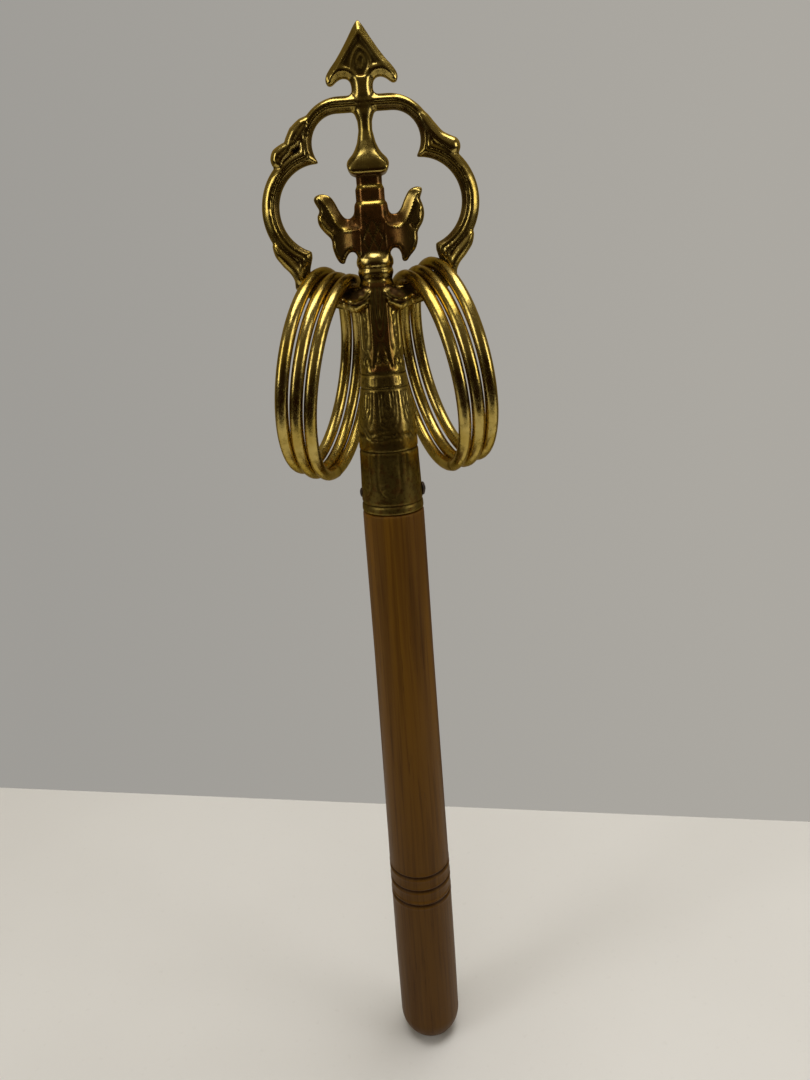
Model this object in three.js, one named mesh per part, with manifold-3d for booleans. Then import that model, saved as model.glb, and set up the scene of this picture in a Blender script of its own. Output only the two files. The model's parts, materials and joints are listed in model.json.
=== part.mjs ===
// Hand-held ringed staff (khakkhara, or hand shakujo).
// A cast brass head carries a five-lobed loop, a winged finial and a socket; six loose brass
// rings hang on the loop's lower arms; a turned wooden handle is pinned into the socket.
//
// Heights (z) are in millimetres above the butt's tip. The last lines move the staff down by
// GRIP_HEIGHT, so that the part's origin is the middle of the grip, on the axis.
// The loop lies in the XZ plane, and the front of the staff faces -Y.

import * as THREE from 'three';
import { mergeVertices } from 'three/addons/utils/BufferGeometryUtils.js';
import Module from 'manifold-3d';

const wasm = await Module();
wasm.setup();

// Driving dimensions
const TIP_HEIGHT = 330;          // whole length, butt tip to arrow tip
const GRIP_HEIGHT = 100;         // middle of the grip, the part's origin
const GAP = 0.3;                 // clearance kept between touching pieces

const RIM_HEIGHT = 204.7;        // mouth of the socket
const BORE_RADIUS = 6.9;
const BORE_TOP = 228;
const SOCKET_TOP = 269.2;
const COLLAR_HEIGHT = 272.2;
const BELL_HEIGHT = 297.8;

const LOBE_DEPTH = 2.4;          // half depth (front to back) of the loop's bar
const TOP_LOBE = { x: 6.8, z: 303, radius: 9.1, halfWidth: 2.1 };
const SIDE_LOBE = { x: 13.2, z: 287.8, radius: 13.2, halfWidth: 2.3 };
const ARM = { x: 5.5, z: 286, radius: 21.4, halfWidth: 2.9, depth: 2.5 };
const SHOULDER_HALF_WIDTH = 2.5;

const RING_RADIUS = 27;          // to the middle of the wire
const WIRE_RADIUS = 1.7;
const HANG = 4.8;                // from a ring's hinge up to the wire that rests on the arm
const RING_SIDES = [
  { side: -1, splay: 15.5, lean: 10, hinges: { inner: 7.8, middle: 11.4, outer: 14.9 } },
  { side: 1, splay: 15, lean: 9, hinges: { inner: 8.8, middle: 12.4, outer: 15.9 } },
];

const BUTT_FLAT_RADIUS = 4;
const DOME_RADIUS = 10.6;        // the grip's radius at the butt, up to GRIP_START
const GRIP_START = 36;
const GRIP_MIDDLE = 130;
const GRIP_TOP_RADIUS = 9.1;
const TENON_TOP = 226.5;
const GROOVE_HEIGHTS = [65, 71.1, 76.6];
const GROOVE_DEPTH = 0.6;
const GROOVE_HALF_WIDTH = 0.9;

const PIN_HEIGHT = 210;
const PIN_RADIUS = 0.8;
const PIN_TIP = 4.2;             // the pin's inner end, from the axis
const PIN_HEAD_RADIUS = 1.4;
const SOCKET_RADIUS_AT_PIN = 9;

const SECTION_SIDES = 10;        // facets round a cast bar
const degrees = THREE.MathUtils.degToRad;

// Materials
function finish(color, roughness, metalness) {
  return new THREE.MeshStandardMaterial({ color, roughness, metalness });
}
const brass = () => finish(0xb5923f, 0.28, 1);
const wood = () => finish(0x76492f, 0.5, 0);
const iron = () => finish(0x3a3733, 0.55, 0.8);

// Closed meshes and booleans
function closedMesh(geometry) {
  const bare = geometry.clone();
  bare.deleteAttribute('normal');
  bare.deleteAttribute('uv');
  const merged = mergeVertices(bare, 1e-4);
  const index = merged.index.array;
  const kept = [];
  for (let i = 0; i < index.length; i += 3) {
    const [a, b, c] = [index[i], index[i + 1], index[i + 2]];
    if (a !== b && b !== c && c !== a) kept.push(a, b, c);
  }
  merged.setIndex(kept);
  return merged;
}

function toSolid(geometry) {
  const mesh = closedMesh(geometry);
  return new wasm.Manifold(new wasm.Mesh({
    numProp: 3,
    vertProperties: new Float32Array(mesh.attributes.position.array),
    triVerts: new Uint32Array(mesh.index.array),
  }));
}

function toGeometry(solid) {
  const mesh = solid.getMesh();
  const geometry = new THREE.BufferGeometry();
  geometry.setAttribute('position', new THREE.BufferAttribute(mesh.vertProperties, 3));
  geometry.setIndex(new THREE.BufferAttribute(mesh.triVerts, 1));
  geometry.computeVertexNormals();
  return geometry;
}

const union = (geometries) => geometries.map(toSolid).reduce((whole, piece) => whole.add(piece));

// A profile of [radius, height] pairs turned about the staff's axis
function turned(profile, segments) {
  const points = profile.map(([radius, height]) => new THREE.Vector2(radius, height));
  return new THREE.LatheGeometry(points, segments).rotateX(Math.PI / 2);
}

// An outline in the XZ plane given depth about Y = 0, with its front and back edges eased
function plate(outline, halfDepth, bevel) {
  const geometry = new THREE.ExtrudeGeometry(outline, {
    depth: 2 * (halfDepth - bevel), curveSegments: 8, bevelEnabled: true,
    bevelThickness: bevel, bevelSize: bevel, bevelOffset: -bevel, bevelSegments: 2,
  });
  return geometry.translate(0, 0, bevel - halfDepth).rotateX(Math.PI / 2);
}

// An oval bar swept along a curve that lies in the XZ plane
function bar(curve, halfWidth, halfDepth, steps) {
  const section = new THREE.Shape();
  for (let i = 0; i < SECTION_SIDES; i++) {
    const turn = (2 * Math.PI * (i + 0.5)) / SECTION_SIDES;
    const point = [halfDepth * Math.cos(turn), halfWidth * Math.sin(turn)];
    if (i === 0) section.moveTo(...point);
    else section.lineTo(...point);
  }
  return new THREE.ExtrudeGeometry(section, { steps, bevelEnabled: false, extrudePath: curve });
}

// A circular arc in the XZ plane; on the left side (-1) it is the mirror image
class LobeCurve extends THREE.Curve {
  constructor(lobe, side, from, to) {
    super();
    Object.assign(this, { lobe, side, from: degrees(from), to: degrees(to) });
  }

  getPoint(t) {
    const turn = THREE.MathUtils.lerp(this.from, this.to, t);
    const x = this.lobe.x + this.lobe.radius * Math.cos(turn);
    return new THREE.Vector3(this.side * x, 0, this.lobe.z + this.lobe.radius * Math.sin(turn));
  }
}

// Head: the loop
function upperLeaf(side) {
  const leaf = new THREE.Shape();
  leaf.moveTo(side * 13.4, 310.8);
  leaf.quadraticCurveTo(side * 17.8, 308.8, side * 19.6, 305.9);
  leaf.quadraticCurveTo(side * 21.2, 303.8, side * 23.4, 303.2);
  leaf.quadraticCurveTo(side * 25.2, 302.4, side * 24.9, 300.3);
  leaf.lineTo(side * 23.6, 299.6);
  leaf.quadraticCurveTo(side * 18.6, 301, side * 13.6, 304.6);
  return plate(leaf, 2.2, 0.5);
}

function lowerLeaf(side) {
  const leaf = new THREE.Shape();
  leaf.moveTo(side * 25.4, 280.6);
  leaf.lineTo(side * 27.1, 279.3);
  leaf.quadraticCurveTo(side * 27.4, 276.8, side * 25.8, 275.4);
  leaf.lineTo(side * 21.6, 271.4);
  leaf.lineTo(side * 19.6, 275.5);
  return plate(leaf, 2.2, 0.6);
}

function shoulder(side) {
  const line = new THREE.LineCurve3(
    new THREE.Vector3(side * 20.4, 0, 277.5),
    new THREE.Vector3(side * 20, 0, 270.2),
  );
  return bar(line, SHOULDER_HALF_WIDTH, LOBE_DEPTH, 1);
}

function loopSide(side) {
  return [
    bar(new LobeCurve(TOP_LOBE, side, 130, -22), TOP_LOBE.halfWidth, LOBE_DEPTH, 16),
    bar(new LobeCurve(SIDE_LOBE, side, 83, -62), SIDE_LOBE.halfWidth, LOBE_DEPTH, 18),
    bar(new LobeCurve(ARM, side, -98, -46), ARM.halfWidth, ARM.depth, 10),
    shoulder(side),
    upperLeaf(side),
    lowerLeaf(side),
  ];
}

// Head: the arrow-shaped pinnacle and its stem
function arrowhead() {
  const outline = new THREE.Shape();
  outline.moveTo(0, TIP_HEIGHT);
  outline.lineTo(8.7, 318.2);
  outline.lineTo(7.9, 317.1);
  outline.quadraticCurveTo(4.4, 318.2, 2.5, 317);
  outline.lineTo(2, 311);
  outline.lineTo(-2, 311);
  outline.lineTo(-2.5, 317);
  outline.quadraticCurveTo(-4.4, 318.2, -7.9, 317.1);
  outline.lineTo(-8.7, 318.2);
  outline.closePath();
  return plate(outline, 2.3, 0.7);
}

// Head: the bell-shaped knob and the stepped eight-sided neck
function bellAndNeck() {
  const profile = [
    [0, 313], [1.9, 313], [1.75, 306], [3.3, 301.4], [5.4, BELL_HEIGHT + 0.8],
    [5.5, BELL_HEIGHT - 0.6], [4.6, 295.7], [3.4, 295.2], [3.3, 292.7], [3.9, 292.4],
    [3.9, 289], [4.5, 288.7], [4.6, 277], [3.95, 275.6], [3.95, 272], [0, 272],
  ];
  return turned(profile.reverse(), 8).rotateZ(Math.PI / 8);
}

// Head: the pair of cross wings, each with an upper horn and a lower hook
function wings() {
  const outline = new THREE.Shape();
  const half = [
    [4.5, 286], [7.3, 285.6], [8.8, 288.1], [10.2, 290.8], [12.6, 291.6], [14.4, 290.6],
    [13.4, 288], [13.9, 285], [13.2, 282.4], [11.6, 280], [11.2, 277.6], [10, 275.2],
    [8.6, 273.7], [7.4, 274.8], [6.8, 276.5], [5.6, 277], [4, 276],
  ];
  half.forEach(([x, z], i) => (i ? outline.lineTo(x, z) : outline.moveTo(x, z)));
  half.reverse().forEach(([x, z]) => outline.lineTo(-x, z));
  return plate(outline, 2.2, 0.6);
}

// Head: the collar and the flaring socket, bored to take the handle's tenon
function collarAndSocket() {
  const profile = [
    [0, BORE_TOP + 4], [BORE_RADIUS, BORE_TOP], [BORE_RADIUS, RIM_HEIGHT], [9.05, RIM_HEIGHT],
    [9, 207.3], [8.6, 219.3], [8.4, 228], [7.4, 236.4], [6.4, 244.8], [5.8, 253], [5.5, 261],
    [4.7, SOCKET_TOP - 0.8], [4.1, SOCKET_TOP], [4.6, COLLAR_HEIGHT - 1.6],
    [4.75, COLLAR_HEIGHT], [4.4, COLLAR_HEIGHT + 1.7], [3.8, COLLAR_HEIGHT + 3],
    [0, COLLAR_HEIGHT + 3],
  ];
  return turned(profile, 28);
}

// A cylinder along X at the pins' height, from one distance from the axis to another
function crossHole(side, radius, from, to) {
  const cylinder = new THREE.CylinderGeometry(radius, radius, to - from, 12);
  return cylinder.rotateZ(Math.PI / 2).translate((side * (from + to)) / 2, 0, PIN_HEIGHT);
}

function headCasting() {
  const pieces = [
    collarAndSocket(), bellAndNeck(), wings(), arrowhead(), ...loopSide(-1), ...loopSide(1),
  ];
  const holes = [-1, 1].map((side) => crossHole(side, PIN_RADIUS + GAP, 5, 11));
  return toGeometry(union(pieces).subtract(union(holes)));
}

// Handle: turned wood with three grooves, a domed butt and a tenon in the socket
function handle() {
  const flatHeight = DOME_RADIUS - Math.sqrt(DOME_RADIUS ** 2 - BUTT_FLAT_RADIUS ** 2);
  const dome = [[BUTT_FLAT_RADIUS, 0]];
  for (const angle of [-54, -38, -20, 0]) {
    const turn = degrees(angle);
    const height = DOME_RADIUS * (1 + Math.sin(turn)) - flatHeight;
    dome.push([DOME_RADIUS * Math.cos(turn), height]);
  }
  const gripRadius = (height) => THREE.MathUtils.mapLinear(
    height, GRIP_START, RIM_HEIGHT, DOME_RADIUS, GRIP_TOP_RADIUS);
  const grooves = GROOVE_HEIGHTS.flatMap((height) => [
    [gripRadius(height), height - GROOVE_HALF_WIDTH],
    [gripRadius(height) - GROOVE_DEPTH, height],
    [gripRadius(height), height + GROOVE_HALF_WIDTH],
  ]);
  const shoulderHeight = RIM_HEIGHT - GAP;
  const tenonRadius = BORE_RADIUS - GAP;
  const profile = [
    [0, 0], ...dome, [DOME_RADIUS, GRIP_START], ...grooves,
    [gripRadius(GRIP_MIDDLE), GRIP_MIDDLE], [GRIP_TOP_RADIUS, shoulderHeight],
    [tenonRadius, shoulderHeight], [tenonRadius, TENON_TOP], [0, TENON_TOP],
  ];
  const holes = [-1, 1].map((side) => crossHole(side, PIN_RADIUS + GAP, PIN_TIP - GAP, 12));
  return toGeometry(toSolid(turned(profile, 32)).subtract(union(holes)));
}

// A pin driven through the socket's wall, with a domed head outside
function pin(side) {
  const seat = SOCKET_RADIUS_AT_PIN + GAP;
  const profile = [
    [0, PIN_TIP], [PIN_RADIUS, PIN_TIP], [PIN_RADIUS, seat], [PIN_HEAD_RADIUS, seat],
    [1.1, seat + 0.7], [0, seat + 1],
  ];
  return turned(profile, 12).rotateY((side * Math.PI) / 2).translate(0, 0, PIN_HEIGHT);
}

// Rings: each hangs from a hinge inside the arm, in a plane that is splayed and leans outwards
function armTop(x) {
  const radius = ARM.radius - ARM.halfWidth;
  return ARM.z - Math.sqrt(radius ** 2 - (x - ARM.x) ** 2);
}

function ringHinge({ side, splay, lean }, x) {
  const turn = side * degrees(splay);
  const tilt = -side * degrees(lean);
  const across = new THREE.Vector3(Math.cos(turn), Math.sin(turn), 0);
  const towardsFront = new THREE.Vector3(Math.sin(turn), -Math.cos(turn), 0);
  const up = across.clone().multiplyScalar(Math.sin(tilt));
  up.z = Math.cos(tilt);
  const axis = towardsFront.clone().cross(up);
  const wireX = x - HANG * Math.abs(up.x);
  const slope = Math.asin((wireX - ARM.x) / (ARM.radius - ARM.halfWidth));
  const wireZ = armTop(wireX) + WIRE_RADIUS / Math.cos(slope) + GAP;
  const hinge = new THREE.Group();
  hinge.matrixAutoUpdate = false;
  hinge.matrix.makeBasis(towardsFront, up, axis).setPosition(side * x, 0, wireZ - HANG * up.z);
  return hinge;
}

function ring() {
  return closedMesh(new THREE.TorusGeometry(RING_RADIUS, WIRE_RADIUS, 10, 40));
}

// Assembly
function named(name, geometry, material) {
  const mesh = new THREE.Mesh(geometry, material);
  mesh.name = name;
  return mesh;
}

const staff = new THREE.Group();
staff.position.z = -GRIP_HEIGHT;
staff.add(named('head_casting', headCasting(), brass()));
staff.add(named('handle', handle(), wood()));
staff.add(named('pin_left', closedMesh(pin(-1)), iron()));
staff.add(named('pin_right', closedMesh(pin(1)), iron()));

for (const ringSide of RING_SIDES) {
  for (const [place, x] of Object.entries(ringSide.hinges)) {
    const name = `ring_${ringSide.side < 0 ? 'left' : 'right'}_${place}`;
    const hinge = ringHinge(ringSide, x);
    const mesh = named(name, ring(), brass());
    mesh.position.y = HANG - RING_RADIUS;
    hinge.add(mesh);
    staff.add(hinge);
  }
}

const group = new THREE.Group();
group.add(staff);

export default group;
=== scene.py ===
import json
import math

import bpy
import numpy as np
from mathutils import Matrix, Vector


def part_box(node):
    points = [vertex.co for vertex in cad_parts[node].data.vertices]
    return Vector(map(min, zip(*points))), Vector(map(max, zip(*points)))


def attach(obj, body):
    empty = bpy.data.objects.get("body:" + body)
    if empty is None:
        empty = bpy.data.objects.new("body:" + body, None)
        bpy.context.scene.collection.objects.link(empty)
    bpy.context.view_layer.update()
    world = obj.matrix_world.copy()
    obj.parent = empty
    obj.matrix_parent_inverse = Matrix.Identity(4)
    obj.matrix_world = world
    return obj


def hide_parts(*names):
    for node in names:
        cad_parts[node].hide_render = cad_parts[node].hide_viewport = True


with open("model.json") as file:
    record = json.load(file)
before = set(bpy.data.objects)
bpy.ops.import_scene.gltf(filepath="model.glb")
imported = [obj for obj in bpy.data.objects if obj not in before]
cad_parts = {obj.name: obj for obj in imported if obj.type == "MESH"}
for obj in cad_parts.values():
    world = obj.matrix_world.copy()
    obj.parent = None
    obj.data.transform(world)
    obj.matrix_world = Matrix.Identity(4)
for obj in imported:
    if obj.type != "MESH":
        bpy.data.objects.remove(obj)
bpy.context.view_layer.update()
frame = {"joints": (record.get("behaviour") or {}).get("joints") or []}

# Lengths in the shape code are millimetres, and heights are above the butt's tip.
MM = 0.001
TIP = 330.0
HEAD_LOW, HEAD_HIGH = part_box("head_casting")
BASE_Z = HEAD_HIGH.z - TIP * MM  # row-frame height of the butt's tip
RIM = (HEAD_LOW.z - BASE_Z) / MM  # mouth of the socket

PIN_HEIGHT = 210.0
AXIS = 0.02  # radius of the point that closes a turned end
GRID = 0.36  # spacing of the samples that the head is made from
SLAB = 60  # levels of samples worked out at a time


# Small helpers
def smooth_min(a, b, k):
    h = np.clip(0.5 + 0.5 * (b - a) / k, 0, 1)
    return b * (1 - h) + a * h - k * h * (1 - h)


def smooth_max(a, b, k):
    return -smooth_min(-a, -b, k)


def smoothstep(a, b, x):
    t = np.clip((x - a) / (b - a), 0, 1)
    return t * t * (3 - 2 * t)


def mix(a, b, t):
    return a + (b - a) * t


def stroke(distance, width=0.26):
    """1 on a line, falling softly to 0 a little past width from it."""
    return np.exp(-(distance / width) ** 2)


def curve_through(points, steps, closed=True):
    """A smooth line through points (Catmull-Rom)."""
    p = np.array(points, float)
    n = len(p)
    out = []
    for i in range(n if closed else n - 1):
        if closed:
            a, b, c, d = (p[(i + j) % n] for j in (-1, 0, 1, 2))
        else:
            a, b, c, d = (p[min(max(i + j, 0), n - 1)] for j in (-1, 0, 1, 2))
        for t in np.arange(steps) / steps:
            out.append(0.5 * (2 * b + (c - a) * t + (2 * a - 5 * b + 4 * c - d) * t**2
                              + (3 * b - a - 3 * c + d) * t**3))
    if not closed:
        out.append(p[-1])
    return np.array(out)


def line_distance(px, pz, line, closed=False, widths=None):
    """Distance from each point to a polyline, less the line's own half width."""
    best = np.full(px.shape, 1e3)
    n = len(line)
    for i in range(n if closed else n - 1):
        a, b = line[i], line[(i + 1) % n]
        e = b - a
        length2 = max(float(e @ e), 1e-9)
        t = np.clip(((px - a[0]) * e[0] + (pz - a[1]) * e[1]) / length2, 0, 1)
        d = np.hypot(px - a[0] - t * e[0], pz - a[1] - t * e[1])
        if widths is not None:
            d = d - (widths[i] + t * (widths[(i + 1) % n] - widths[i]))
        best = np.minimum(best, d)
    return best


def curve_distance(px, pz, points, steps):
    """Distance from each point to the smooth open line through the given ones."""
    return line_distance(px, pz, curve_through(points, steps, closed=False))


def outline_distance(px, pz, outline):
    """Signed distance to a closed outline, negative inside."""
    d = line_distance(px, pz, outline, closed=True)
    inside = np.zeros(px.shape, bool)
    n = len(outline)
    for i in range(n):
        (x1, z1), (x2, z2) = outline[i], outline[(i + 1) % n]
        if z1 == z2:
            continue
        hit = ((z1 > pz) != (z2 > pz)) & (px < (x2 - x1) * (pz - z1) / (z2 - z1) + x1)
        inside ^= hit
    return np.where(inside, -d, d)


WAVES = 7
WAVE_SUM = 3.7  # brings most of the noise to between -1 and 1


def wave_noise(a, b, c, seed, scale):
    """Smooth noise about 0 from a few seeded waves."""
    r = np.random.default_rng(seed)
    total = 0
    for _ in range(WAVES):
        k = r.normal(size=3) / scale
        total = total + np.sin(a * k[0] + b * k[1] + c * k[2] + r.uniform(0, 6.28))
    return total / WAVE_SUM


# Head: flat ornaments of the loop, as a plan distance and a half depth over the XZ plane
def mirrored(points):
    return [(-x, z) for x, z in points]


def bent_bar(px, pz, points, widths):
    line = curve_through(points, 5, closed=False)
    at = np.linspace(0, len(points) - 1, len(line))
    return line_distance(px, pz, line, widths=np.interp(at, range(len(points)), widths))


def rounded(distance, width, depth):
    """Half depth of a bar whose section is an oval, from its plan distance."""
    t = np.clip(1 + distance / width, 0, 1.5)
    return depth * np.sqrt(np.clip(1 - t**2, 0, 1))


# The loop's lobes as (half of the flat between its two centres, height of the centres, radius)
TOP_OUTER, TOP_INNER = (6.2, 302.6, 11.4), (7.1, 303.2, 6.95)
SIDE_OUTER, SIDE_INNER = (13.2, 287.6, 15.5), (13.2, 287.9, 10.9)
ARM_OUTER, ARM_INNER = (5.5, 286.0, 24.2), (5.5, 286.0, 18.5)
ARM_REACH, ARM_LEVEL = 22.0, 275.0  # the arms lie within this half width, below this height
CUSP, CUSP_LEVEL = 16.65, 276.0  # the lowest cusps' half width and height
ARM_OPENING_TOP = 281.0
LEDGE = 1.4  # width of the sloping inner face, round the openings
ARM_LEDGE = 3.3  # and along the arms
LOOP_DEPTH, ARM_DEPTH = 2.35, 2.45  # half depths of the bar


def lobe(ax, pz, flat, height, radius):
    return np.hypot(np.maximum(ax - flat, 0), pz - height) - radius


def loop_plan(px, pz):
    """Distances to the loop's outer edge and to its openings' edge, negative inside each."""
    ax = np.abs(px)
    flat, height, radius = SIDE_OUTER
    side_out = np.hypot(ax - flat, pz - height) - radius
    arm_out = np.maximum(lobe(ax, pz, *ARM_OUTER), np.maximum(ax - ARM_REACH, pz - ARM_LEVEL))
    outer = smooth_min(smooth_min(lobe(ax, pz, *TOP_OUTER), side_out, 0.6), arm_out, 0.6)
    cusp = ax - CUSP - 0.3 * np.clip(CUSP_LEVEL - pz, 0, 3)
    arm_in = np.maximum(lobe(ax, pz, *ARM_INNER), pz - ARM_OPENING_TOP)
    arm_in = smooth_max(arm_in, cusp, 0.5)
    sides = smooth_min(lobe(ax, pz, *TOP_INNER), lobe(ax, pz, *SIDE_INNER), 0.7)
    return outer, smooth_min(sides, arm_in, 0.4)


def loop_bar(px, pz):
    """The loop's bar: a full outer roll, a groove, a thin ridge and a sloping inner face."""
    outer, inner = loop_plan(px, pz)
    ax = np.abs(px)
    d_out, d_in = np.maximum(-outer, 0), np.maximum(inner, 0)
    on_arm = smoothstep(275, 270, pz) * (ax < 19)
    ledge = mix(LEDGE, ARM_LEDGE, on_arm)
    roll_width = np.maximum(d_out + d_in - ledge - 0.35, 0.4)
    t = np.clip(d_out / roll_width, 0, 1)
    roll = 0.4 + 0.6 * (1 - (1 - np.minimum(t / 0.85, 1)) ** 1.7)
    roll = roll - 0.12 * smoothstep(0.8, 1, t)
    s = np.clip(d_in / ledge, 0, 1)
    face = 0.36 + 0.56 * s ** mix(0.9, 2.0, on_arm)
    height = np.where(d_in < ledge, face, roll)
    height = height - 0.13 * stroke(d_in - ledge - 0.45, 0.28)
    height = height + 0.05 * stroke(d_in - ledge + 0.15, 0.25)
    half = mix(LOOP_DEPTH, ARM_DEPTH, on_arm) * height
    half = half * (1 + 0.03 * wave_noise(px, pz, 0 * px, 3, 2.2))
    return np.maximum(outer, -inner), half


UPPER_CURL_LEFT = [
    ([(-14.4, 309.1), (-15.9, 307.7), (-17.5, 305.9), (-18.8, 304.2), (-19.9, 303.1)],
     [1.0, 2.0, 2.45, 2.15, 1.4]),
    ([(-19.4, 303.5), (-21.0, 302.2), (-22.5, 301.1), (-23.0, 300.0), (-22.6, 298.9)],
     [1.2, 2.05, 2.3, 2.0, 1.3]),
]
UPPER_CURL_RIGHT = [
    ([(13.9, 309.2), (15.0, 307.4), (16.6, 305.0), (18.5, 302.9), (20.4, 301.6), (21.8, 300.8)],
     [1.0, 1.8, 2.1, 2.1, 2.3, 2.5]),
]
LOWER_CURL = [
    ([(26.1, 279.4), (25.0, 277.4), (23.2, 275.3), (21.4, 273.1), (20.4, 270.6)],
     [0.9, 1.6, 1.85, 1.75, 1.5]),
]
UPPER_WEB = [(13.0, 307.5), (15.6, 307.5), (19.0, 303.6), (22.8, 301.0), (23.8, 299.2),
             (19.8, 297.6), (14.6, 300.0)]
LOWER_WEB = [(24.6, 281.0), (26.6, 279.2), (24.6, 275.6), (21.8, 271.0), (20.6, 268.6),
             (17.4, 270.4), (17.0, 275.4), (18.4, 279.4)]
WEB_DEPTH, CURL_DEPTH = 0.95, 2.75  # half depths of the leaves' webs and rolls


def leaf_grooves(px, pz, curls):
    """The groove cut along the middle of each curl, short of its ends."""
    cut = 0 * px
    for points, _ in curls:
        line = curve_through(points, 5, closed=False)[4:-5]
        cut = np.maximum(cut, stroke(line_distance(px, pz, line), 0.3))
    return cut


def loop_and_leaves(px, pz):
    plan, half = loop_bar(px, pz)
    lower = LOWER_CURL + [(mirrored(p), w) for p, w in LOWER_CURL]
    webs = [UPPER_WEB, mirrored(UPPER_WEB), LOWER_WEB, mirrored(LOWER_WEB)]
    opening = loop_plan(px, pz)[1]
    for web in webs:
        d = np.maximum(outline_distance(px, pz, np.array(web)), 0.3 - opening)
        half = np.where((d < 0.4) & (plan > -0.3), WEB_DEPTH, half)
        plan = smooth_min(plan, d, 0.4)
    for points, widths in UPPER_CURL_LEFT + UPPER_CURL_RIGHT + lower:
        d = bent_bar(px, pz, points, widths)
        half = np.maximum(half, rounded(d, max(widths), CURL_DEPTH))
        plan = smooth_min(plan, d, 0.25)
    return plan, half - 0.42 * leaf_grooves(px, pz, UPPER_CURL_LEFT)


# Head: the arrowhead
ARROW = [(0, 330.35), (1.0, 329.3), (2.5, 327.0), (4.2, 324.5), (6.0, 322.1), (7.6, 320.3),
         (8.6, 319.0), (9.05, 317.8), (8.8, 316.8), (8.0, 316.4), (7.1, 316.9), (6.1, 317.6),
         (4.9, 318.0), (3.7, 317.8), (2.9, 317.0), (2.55, 315.8), (2.6, 314.6), (3.4, 313.6)]
ARROW_SLOPE = [(0, 330.4), (2.5, 327.0), (6.0, 322.1), (8.8, 318.7), (8.9, 317.4)]
ARROW_FOOT = [(8.4, 316.4), (7.1, 316.9), (6.1, 317.6), (4.9, 318.0), (3.7, 317.8), (2.9, 317.0),
              (2.55, 315.8), (2.6, 313.6)]
ARROW_ARCH = [(2.1, 319.6), (2.2, 321.2), (1.4, 323.0), (0.0, 324.3)]
ARROW_DIAMOND = [(0.1, 322.6), (0.9, 321.2), (0.3, 319.4)]
ARROW_RIM = [(0, 330.4), (6.0, 322.1), (8.8, 318.7)]
ARROW_BASE = 317.8


def arrow_beads(px, pz):
    """The raised arch and diamond on the arrowhead's sunk face."""
    ax = np.abs(px - 0.15 * np.sin(pz))
    arch = stroke(curve_distance(ax, pz, ARROW_ARCH, 5), 0.3)
    return np.maximum(arch, 0.8 * stroke(curve_distance(ax, pz, ARROW_DIAMOND, 3)))


def arrow_plan(px, pz):
    outline = curve_through(ARROW, 4, closed=False)
    outline = np.concatenate([outline, outline[::-1][:-1] * (-1, 1)])
    ax = np.abs(px)
    plan = outline_distance(px, pz, outline) - 0.1
    d_side = line_distance(ax, pz, np.array(ARROW_SLOPE))
    d_foot = curve_distance(ax, pz, ARROW_FOOT, 3)
    wobble = 0.25 * wave_noise(px, pz, 0 * px, 17, 2.4)
    side = mix(1.0, 2.35, smoothstep(0, 1.6, d_side + 0.5 * wobble))
    low = mix(1.1, 2.25, smoothstep(0, 1.7, d_foot))
    inner = smoothstep(1.5, 2.3, d_side + wobble) * smoothstep(1.9, 2.6, d_foot + wobble)
    depth = np.minimum(side, low) - 0.42 * inner * (pz > ARROW_BASE)
    return plan, depth + 0.3 * arrow_beads(px, pz)


# Head: the cross wings
WING_LEFT = [(-3.0, 286.3), (-5.75, 285.1), (-7.3, 285.5), (-8.5, 287.3), (-9.4, 289.2),
             (-10.6, 290.8), (-12.6, 291.5), (-14.3, 291.1), (-14.9, 290.1), (-14.3, 288.7),
             (-13.7, 287.4), (-14.3, 286.0), (-14.1, 283.9), (-12.7, 281.9), (-11.2, 280.2),
             (-11.0, 278.0), (-10.3, 275.6), (-9.3, 274.1), (-8.2, 273.9), (-7.6, 275.2),
             (-6.5, 276.6), (-5.2, 276.5), (-4.3, 275.2), (-3.0, 274.8)]
WING_RIGHT = [(3.0, 286.6), (5.2, 285.7), (6.6, 285.7), (7.8, 286.8), (8.8, 288.8),
              (10.2, 291.0), (12.0, 291.8), (13.7, 291.4), (13.5, 290.1), (13.1, 288.9),
              (13.7, 287.2), (13.95, 285.2), (13.4, 283.0), (12.0, 280.8), (11.9, 278.8),
              (11.2, 276.6), (9.6, 274.8), (8.6, 273.6), (7.5, 273.7), (7.2, 275.6),
              (6.4, 276.9), (5.2, 277.0), (4.3, 276.2), (3.0, 274.9)]
CREST_LEFT = [(-13.9, 290.5), (-12.3, 289.2), (-11.0, 286.9), (-9.7, 284.0), (-8.2, 282.6),
              (-6.2, 282.2), (-3.4, 282.3)]
CREST_RIGHT = [(12.9, 290.6), (11.6, 288.6), (10.6, 286.2), (9.4, 284.0), (8.0, 282.8),
               (6.2, 282.5), (4.2, 283.0), (3.2, 284.8)]
JAW_LEFT = [(-13.8, 285.6), (-12.6, 284.1), (-11.3, 282.5), (-10.2, 281.2)]
JAW_RIGHT = [(13.3, 287.0), (12.4, 285.2), (12.6, 283.2), (11.6, 281.6)]
CLEFT_LEFT = [(-14.0, 287.2), (-12.9, 285.9), (-11.6, 284.1), (-10.6, 282.6)]
CLEFT_RIGHT = [(13.2, 282.6), (11.9, 281.9), (10.8, 281.8), (10.2, 282.8)]


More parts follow.
